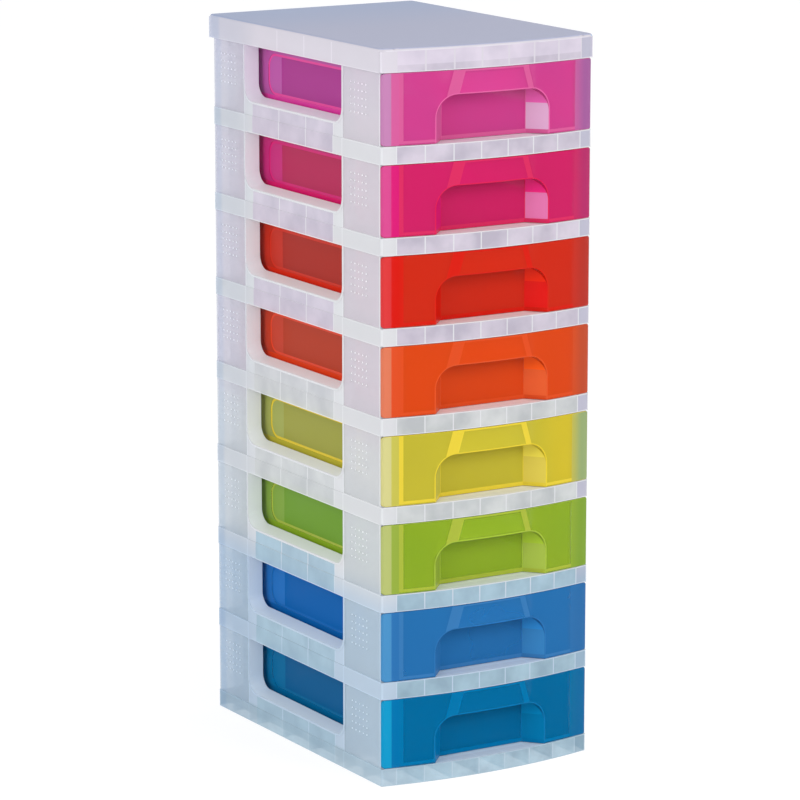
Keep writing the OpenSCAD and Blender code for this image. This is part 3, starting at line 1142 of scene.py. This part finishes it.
@dataclass
class Drawer(Moulding):
    """A drawer whose corners and webs are painted paler for the light that they gather."""

    box_half: float = 122.0 * MILLIMETRE
    panel_depth: float = 2.6 * MILLIMETRE
    end_from: float = 137.2 * MILLIMETRE
    glow_from: float = 127.6 * MILLIMETRE
    side_glow: float = 3.0 * MILLIMETRE
    floor_foot: float = 24.2 * MILLIMETRE
    floor_head: float = 27.8 * MILLIMETRE
    arch_half: float = 80.0 * MILLIMETRE
    arch_top: float = 80.0 * MILLIMETRE
    recess_back: float = 10.0 * MILLIMETRE
    flare_head: float = 60.0 * MILLIMETRE
    pocket_foot_half: float = 57.5 * MILLIMETRE
    pocket_roof_half: float = 49.5 * MILLIMETRE
    pocket_left: tuple[float, float] = (-8.1 * MILLIMETRE, 8.1 * MILLIMETRE)
    pocket_right: tuple[float, float] = (-8.6 * MILLIMETRE, -0.5 * MILLIMETRE)
    roof_line: float = 107.2 * MILLIMETRE
    rim: float = 106.5 * MILLIMETRE
    rim_line: float = 1.1 * MILLIMETRE
    sink: float = 0.7 * MILLIMETRE
    sink_line: float = 3.2 * MILLIMETRE
    field_foot: float = 47.0 * MILLIMETRE
    halo_front: float = 290.0 * MILLIMETRE
    panel_skin: float = 0.6 * MILLIMETRE
    side_foot: float = 44.0 * MILLIMETRE
    side_head: float = 101.0 * MILLIMETRE
    side_front: float = 36.0 * MILLIMETRE
    side_rear: float = 330.0 * MILLIMETRE
    recess_from: float = 0.5 * MILLIMETRE
    recess_behind: float = 3.0 * MILLIMETRE
    recess_beside: float = 4.0 * MILLIMETRE
    recess_rise: float = 0.6
    splay_across: float = 0.5
    splay_forward: float = 0.3
    pocket_turn: float = 0.8
    pocket_below: float = 5.0 * MILLIMETRE
    pocket_beside: float = 3.0 * MILLIMETRE

    def on_sunk_field(self, x: float) -> bool:
        """Says whether a width is that of the sunk field or of its step."""
        return self.box_half - self.sink - self.close < abs(x) < self.box_half + self.close

    def is_field_edge(self, edge: bmesh.types.BMEdge) -> bool:
        """Says whether an edge bounds the sunk field of a side."""
        if any(self.is_field(face) for face in edge.link_faces):
            return True
        return all(self.is_field_corner(corner) for corner in edge.verts)

    def is_field(self, face: bmesh.types.BMFace) -> bool:
        """Says whether a face is the sunk field of a side."""
        depth = abs(face.calc_center_median().x) - (self.box_half - self.sink)
        return abs(depth) < self.close and abs(face.normal.x) > FLAT

    def is_field_corner(self, vertex: bmesh.types.BMVert) -> bool:
        """Says whether a vertex is a corner of the step round the sunk field."""
        stepped = self.on_sunk_field(vertex.co.x) and len(vertex.link_edges) == 3
        return stepped and not self.on_wall_edge(vertex)

    def on_wall_edge(self, vertex: bmesh.types.BMVert) -> bool:
        """Says whether a vertex lies at the head, foot, front or rear of a side wall."""
        at = self.place(vertex.co)
        upright = self.side_foot <= at.z <= self.side_head
        return not (upright and self.side_front <= at.y <= self.side_rear)

    def on_front_skin(self, at: Vector, facing: Vector) -> bool:
        """Says whether a face lies on the front skin of the bowed panel."""
        return facing.y < -TOWARDS and at.y < self.bow_front(at.x) + self.panel_skin

    def in_recess(self, at: Vector) -> bool:
        """Says whether a place is on a wall of the finger recess.

        Args:
            at: The place.

        Returns:
            True behind the front skin, between the arch and the recess's back.
        """
        behind = at.y - self.bow_front(at.x) > self.recess_from
        before = at.y < self.recess_back + self.recess_behind
        beside = abs(at.x) < self.arch_half + self.recess_beside
        return behind and before and beside and at.z < self.arch_top

    def pocket_slope(self) -> float:
        """Gives how much the grip pocket narrows over a metre of height."""
        return (self.pocket_foot_half - self.pocket_roof_half) / (self.rim - self.arch_top)

    def pocket_edge(self, z: float) -> float:
        """Gives the half width of the leaning grip pocket at a height."""
        return self.pocket_foot_half - self.pocket_slope() * (z - self.arch_top)

    def by_pocket(self, at: Vector) -> bool:
        """Says whether a place on the front skin lies over a leaning pocket wall.

        Args:
            at: The place.

        Returns:
            True in the band that a pocket wall takes at that height.
        """
        if at.z < self.arch_top - self.pocket_below:
            return False
        low, high = self.pocket_left if at.x < 0 else self.pocket_right
        side = math.copysign(1.0, at.x)
        return low < at.x - side * self.pocket_edge(at.z) < high

    def on_panel(self, at: Vector) -> Face:
        """Chooses the finish of the panel's front skin.

        Args:
            at: Middle of the face, measured as in place.

        Returns:
            Painted glow strips at the left end, painted shade at the right end, and painted glow
            bands where a wall meets the panel.
        """
        # Right end painted darker as shade; left end painted pale as the column seen through
        if at.x > self.box_half:
            return Face.FAR
        if at.x < -self.end_from:
            return Face.END
        if at.x < -self.glow_from:
            return Face.GLOW
        if at.x < -self.box_half:
            return Face.BAND if at.z > self.floor_foot else Face.WALL
        if self.floor_foot < at.z < self.floor_head or self.by_pocket(at):
            return Face.BAND
        if at.z > self.roof_line and abs(at.x) < self.pocket_roof_half:
            return Face.BAND
        return Face.WALL

    def on_box_side(self, at: Vector) -> Face:
        """Chooses the finish of the outer face of a side wall of the box.

        Args:
            at: Middle of the face, measured as in place.

        Returns:
            A painted glow band at the front, the foot painted paler against its shade, the sunk
            field and the paler painted halo of the side round it.
        """
        if at.y < self.side_glow:
            return Face.BAND
        if at.z < self.field_foot:
            return Face.FOOT
        sunk = abs(abs(at.x) - self.box_half + self.sink) < self.close
        return Face.FIELD if sunk and at.y < self.halo_front else Face.SIDE

    def colour_and_painted_light_of(self, at: Vector, facing: Vector) -> Face:
        """Chooses the finish of a face of the drawer.

        Args:
            at: Middle of the face, measured as in place.
            facing: Normal of the face.

        Returns:
            Panel ends painted pale, junctions painted glowing, box sides, recess walls
            with painted glow, light and reflection, and the wall anywhere else.
        """
        if self.on_front_skin(at, facing):
            return self.on_panel(at)
        # Panel ends painted pale for the white column seen through them
        if abs(at.x) > self.glow_from and at.y < self.panel_depth + MILLIMETRE:
            return Face.END
        outward = facing.x * at.x > 0
        if abs(facing.x) > SQUARE and outward and self.on_sunk_field(at.x):
            return self.on_box_side(at)
        by_pocket = abs(at.x) < self.pocket_foot_half + self.pocket_beside
        # Painted glow bands on the leaning pocket walls
        if abs(facing.x) > self.pocket_turn and self.arch_top < at.z and by_pocket:
            if MILLIMETRE < at.y - self.bow_front(at.x) and at.y < self.recess_back:
                return Face.BAND
        if self.in_recess(at) and abs(facing.z) < self.recess_rise:
            # Painted glow band along the recess floor
            if at.z < self.floor_head:
                return Face.BAND
            # Painted light and a painted reflection on the right splayed wall, painted paler over
            # it against the shade under the arch, painted glow on the left wall
            if abs(facing.x) > self.splay_across and abs(facing.y) > self.splay_forward:
                if at.x > 0:
                    return Face.WEB if at.z < self.flare_head else Face.NOOK
                return Face.GLOW
        return Face.WALL

    def line_fields(self, shape: bmesh.types.BMesh) -> None:
        """Draws a pale line, a painted highlight, along the border of the sunk field of each side.

        Args:
            shape: The shape of the drawer.
        """
        lined = bmesh.ops.inset_region(
            shape,
            faces=[face for face in shape.faces if self.is_field(face)],
            thickness=self.sink_line,
            use_boundary=True,
            use_even_offset=True,
        )
        for face in lined["faces"]:
            face.material_index = Face.LINE.value

    def line_rim(self, shape: bmesh.types.BMesh) -> None:
        """Draws a pale line, a painted highlight, on the panel's front skin along the rim of the
        arch.

        Args:
            shape: The shape of the drawer.
        """
        lined = bmesh.ops.inset_region(
            shape,
            faces=[face for face in shape.faces if self.is_plain_skin(face)],
            thickness=self.rim_line,
            use_boundary=True,
            use_even_offset=True,
        )
        for face in lined["faces"]:
            at = self.middle(face)
            beside = abs(at.x) < self.arch_half + self.rim_line
            if beside and self.floor_head < at.z < self.arch_top + self.rim_line:
                face.material_index = Face.EDGE.value

    def is_plain_skin(self, face: bmesh.types.BMFace) -> bool:
        """Says whether a face of the panel's front skin has no finish of its own yet."""
        plain = face.material_index == Face.WALL.value
        return plain and self.on_front_skin(self.middle(face), face.normal)

    def is_recess(self, face: bmesh.types.BMFace) -> bool:
        """Says whether a face is a wall of the finger recess."""
        return self.in_recess(self.middle(face))

    def divide_panel(self, shape: bmesh.types.BMesh) -> None:
        """Divides the panel's front skin and the recess where painted light and plain colour meet.

        Args:
            shape: The shape of the drawer.
        """
        strips = [-self.end_from, -self.glow_from, -self.box_half, self.box_half]
        levels = [self.floor_foot, self.floor_head, self.roof_line]
        self.cut(shape, Axis.ACROSS, strips, self.is_plain_skin)
        self.cut(shape, Axis.UP, levels, self.is_plain_skin)
        self.cut(shape, Axis.UP, [self.floor_head, self.flare_head], self.is_recess)
        for side, reaches in ((-1, self.pocket_left), (1, self.pocket_right)):
            for reach in reaches:
                foot_x = side * self.pocket_foot_half + reach
                point = Vector((foot_x, self.front_corner, self.foot + self.arch_top))
                across = Vector((1.0, 0.0, side * self.pocket_slope())).normalized()
                skins = [face for face in shape.faces if self.is_plain_skin(face)]
                self.split(shape, skins, point, across)

    def shape(self) -> bmesh.types.BMesh:
        """Makes the drawer with rounded edges, pale lines of painted highlight and painted glowing
        junctions.

        Returns:
            The shape, its faces divided and sorted by finish.
        """
        made = self.solid_copy()
        made.normal_update()
        field_edges = {edge for edge in made.edges if self.is_field_edge(edge)}
        self.round_edges(made, lambda edge: edge not in field_edges)
        made.normal_update()
        self.line_rim(made)
        self.line_fields(made)
        made.normal_update()
        self.divide_panel(made)
        self.cut(made, Axis.REARWARD, [self.side_glow, self.halo_front])
        self.cut(made, Axis.UP, [self.field_foot])
        self.sort_faces(made)
        return made


@dataclass
class Cover(RibbedMoulding):
    """The cover, with a matt top plate over a see-through skirt."""

    skin: float = 0.1515
    depth: float = 0.426
    cover_front: float = 1.0 * MILLIMETRE
    band_height: float = 29.5 * MILLIMETRE
    rib_line: float = 1.2 * MILLIMETRE
    edge_round: float = 3.5 * MILLIMETRE
    top_depth: float = 1.2 * MILLIMETRE
    bay_head: float = 9.0 * MILLIMETRE
    round_rise: float = 0.02
    far_turn: float = 0.4

    def bow_front(self, x: float) -> float:
        """Gives the bowed front of the skirt, which stands out past the tiers."""
        return super().bow_front(x) - self.cover_front

    def colour_and_painted_light_of(self, at: Vector, facing: Vector) -> Face:
        """Chooses the finish of a face of the cover.

        Args:
            at: Middle of the face, measured as in place.
            facing: Normal of the face.

        Returns:
            A matt top, a rounded top edge with a painted highlight towards the front
            and left and painted shade towards the right and rear, pale lines of painted
            highlight and bays with painted shade and glow on the skirt, and the wall
            anywhere else.
        """
        if at.z > self.band_height - self.top_depth and facing.z > TOWARDS:
            return Face.END
        if at.z > self.band_height - self.edge_round and facing.z > self.round_rise:
            # Painted shade where the rounded top edge faces to the right and to the rear, painted
            # highlight elsewhere on it
            far = facing.x > self.far_turn or facing.y > self.far_turn
            return Face.LINE if far else Face.BAND
        on_end = self.on_front(at, facing) or self.on_rear(at, facing)
        outside = self.on_side(at, facing) or on_end
        if self.on_corner(facing) or outside and at.z < self.lip_line:
            return Face.EDGE
        if self.on_side(at, facing):
            return Face.EDGE if within(at.y, self.cross_rib_spans()) else Face.BAND
        if outside:
            place = self.between_ribs(at)
            if place is Face.EDGE:
                return Face.BAND
            # Upper bays of the skirt painted lighter
            return Face.GLOW if place is Face.BAY and at.z > self.bay_head else place
        return Face.WALL

    def shape(self) -> bmesh.types.BMesh:
        """Makes the cover with rounded edges and pale lines of painted highlight.

        Returns:
            The shape, its faces divided and sorted by finish.
        """
        made = self.solid_copy()
        self.round_edges(made)
        self.cut(made, Axis.UP, [self.lip_line, self.bay_head, self.band_height - self.edge_round])
        self.cut_ribs(made)
        self.sort_faces(made)
        return made


@dataclass(frozen=True)
class Lamp:
    """One square soft lamp: its place, the length of its sides, its watts and colour."""

    name: str
    place: tuple[float, float, float]
    size: float
    power: float
    colour: Colour


@dataclass
class Studio:
    """Pale floor, soft lamps, a white surround and the camera."""

    aim: Vector = field(default_factory=lambda: Vector((-0.003, -0.004, 0.433)))
    azimuth: float = math.radians(-31.035)
    elevation: float = math.radians(11.994)
    distance: float = 5.065
    lens: float = 180.13
    floor_size: float = 60.0
    ambient: float = 0.78
    floor_glow: float = 1.12
    floor_share: float = 0.75
    floor_colour: Colour = (0.86, 0.86, 0.87)
    sky_colour: Colour = (0.95, 0.97, 1.0)
    sensor_width: float = 36.0
    farthest: float = 100.0
    lamps: tuple[Lamp, ...] = (
        Lamp("key_lamp", (1.4, -3.4, 2.2), 2.0, 75.0, (1.0, 0.99, 0.97)),
        Lamp("left_lamp", (-3.2, -1.4, 1.6), 2.0, 45.0, (0.97, 0.98, 1.0)),
    )

    def seen_share(self, tree: bpy.types.NodeTree) -> bpy.types.NodeSocket:
        """Gives 1 to rays of the camera, of reflections and through clear plastic.

        Args:
            tree: The node tree of the floor or the surround.

        Returns:
            The share of the white that those rays see.
        """
        seen = tree.nodes.new("ShaderNodeLightPath")
        share = seen.outputs["Is Camera Ray"]
        for kind in ("Is Glossy Ray", "Is Transmission Ray"):
            larger = tree.nodes.new("ShaderNodeMath")
            larger.operation = "MAXIMUM"
            tree.links.new(share, larger.inputs[0])
            tree.links.new(seen.outputs[kind], larger.inputs[1])
            share = larger.outputs["Value"]
        return share

    def floor(self) -> bpy.types.Object:
        """Builds the floor, near white to the camera and with the tower's shadow.

        Returns:
            The floor.
        """
        shape = bmesh.new()
        bmesh.ops.create_grid(shape, x_segments=4, y_segments=4, size=self.floor_size / 2)
        piece = new_piece("studio_floor", shape)
        made = bpy.data.materials.new("studio_white")
        made.use_nodes = True
        nodes = made.node_tree.nodes
        links = made.node_tree.links
        nodes.clear()
        out = nodes.new("ShaderNodeOutputMaterial")
        matt = nodes.new("ShaderNodeBsdfDiffuse")
        matt.inputs["Color"].default_value = (*self.floor_colour, 1.0)
        glow = nodes.new("ShaderNodeEmission")
        glow.inputs["Color"].default_value = (1.0, 1.0, 1.0, 1.0)
        glow.inputs["Strength"].default_value = self.floor_glow
        share = nodes.new("ShaderNodeMath")
        share.operation = "MULTIPLY"
        share.inputs[1].default_value = self.floor_share
        mix = nodes.new("ShaderNodeMixShader")
        links.new(self.seen_share(made.node_tree), share.inputs[0])
        links.new(share.outputs["Value"], mix.inputs["Fac"])
        links.new(matt.outputs["BSDF"], mix.inputs[1])
        links.new(glow.outputs["Emission"], mix.inputs[2])
        links.new(mix.outputs["Shader"], out.inputs["Surface"])
        piece.data.materials.append(made)
        return piece

    def light(self, lamp: Lamp) -> None:
        """Sets one lamp, turned to the point that the camera aims at.

        Args:
            lamp: The lamp to set.
        """
        data = bpy.data.lights.new(lamp.name, "AREA")
        data.shape = "SQUARE"
        data.size = lamp.size
        data.energy = lamp.power
        data.color = lamp.colour
        stand = bpy.data.objects.new(lamp.name, data)
        stand.location = lamp.place
        beam = self.aim - Vector(lamp.place)
        stand.rotation_euler = beam.to_track_quat("-Z", "Y").to_euler()
        bpy.context.scene.collection.objects.link(stand)

    def surround(self) -> None:
        """Lights the world evenly and shows it white behind the tower."""
        world = bpy.data.worlds.new("studio_surround")
        bpy.context.scene.world = world
        world.use_nodes = True
        nodes = world.node_tree.nodes
        links = world.node_tree.links
        nodes.clear()
        out = nodes.new("ShaderNodeOutputWorld")
        soft = nodes.new("ShaderNodeBackground")
        soft.inputs["Color"].default_value = (*self.sky_colour, 1.0)
        soft.inputs["Strength"].default_value = self.ambient
        white = nodes.new("ShaderNodeBackground")
        white.inputs["Color"].default_value = (1.0, 1.0, 1.0, 1.0)
        white.inputs["Strength"].default_value = 1.0
        mix = nodes.new("ShaderNodeMixShader")
        links.new(self.seen_share(world.node_tree), mix.inputs["Fac"])
        links.new(soft.outputs["Background"], mix.inputs[1])
        links.new(white.outputs["Background"], mix.inputs[2])
        links.new(mix.outputs["Shader"], out.inputs["Surface"])

    def camera(self) -> None:
        """Stands the camera before the tower's left front corner."""
        data = bpy.data.cameras.new("studio_camera")
        data.lens = self.lens
        data.sensor_width = self.sensor_width
        data.clip_end = self.farthest
        camera = bpy.data.objects.new("studio_camera", data)
        back = Vector(
            (
                math.sin(self.azimuth) * math.cos(self.elevation),
                -math.cos(self.azimuth) * math.cos(self.elevation),
                math.sin(self.elevation),
            )
        )
        camera.location = self.aim + back * self.distance
        camera.rotation_euler = Euler((math.radians(90.0) - self.elevation, 0.0, self.azimuth))
        bpy.context.scene.collection.objects.link(camera)
        bpy.context.scene.camera = camera

    def build(self) -> None:
        """Builds the whole studio."""
        self.floor()
        self.surround()
        for lamp in self.lamps:
            self.light(lamp)
        self.camera()
        bpy.context.scene.view_settings.view_transform = "Standard"


@dataclass
class Tower:
    """The whole tower: frames, drawers and cover."""

    tones: tuple[Tone, ...] = tuple(Tone)
    tier_height: float = 0.110
    frame_slot: str = "frame_clear"
    cover_slot: str = "cover_grey"
    root: str = "tower"

    def build(self) -> None:
        """Builds every piece in order from the floor up."""
        for tier, tone in enumerate(self.tones, start=1):
            foot = (tier - 1) * self.tier_height
            node = f"tier_frame_{tier}"
            carcass = TierFrame(node, self.root, self.frame_slot, FRAME_COLOUR_AND_PAINTED_LIGHT, foot)
            carcass.build()
            carcass.dots()
            colour_and_painted_light = DRAWER_COLOURS[tone].colour_and_painted_light()
            Drawer(f"drawer_{tier}", f"drawer_{tier}", tone.value, colour_and_painted_light, foot).build()
        top = len(self.tones) * self.tier_height
        Cover("top_cover", self.root, self.cover_slot, COVER_COLOUR_AND_PAINTED_LIGHT, top).build()


def main() -> None:
    """Builds the tower and its studio."""
    Tower().build()
    Studio().build()
    bpy.context.view_layer.update()


if __name__ == "__main__":
    main()
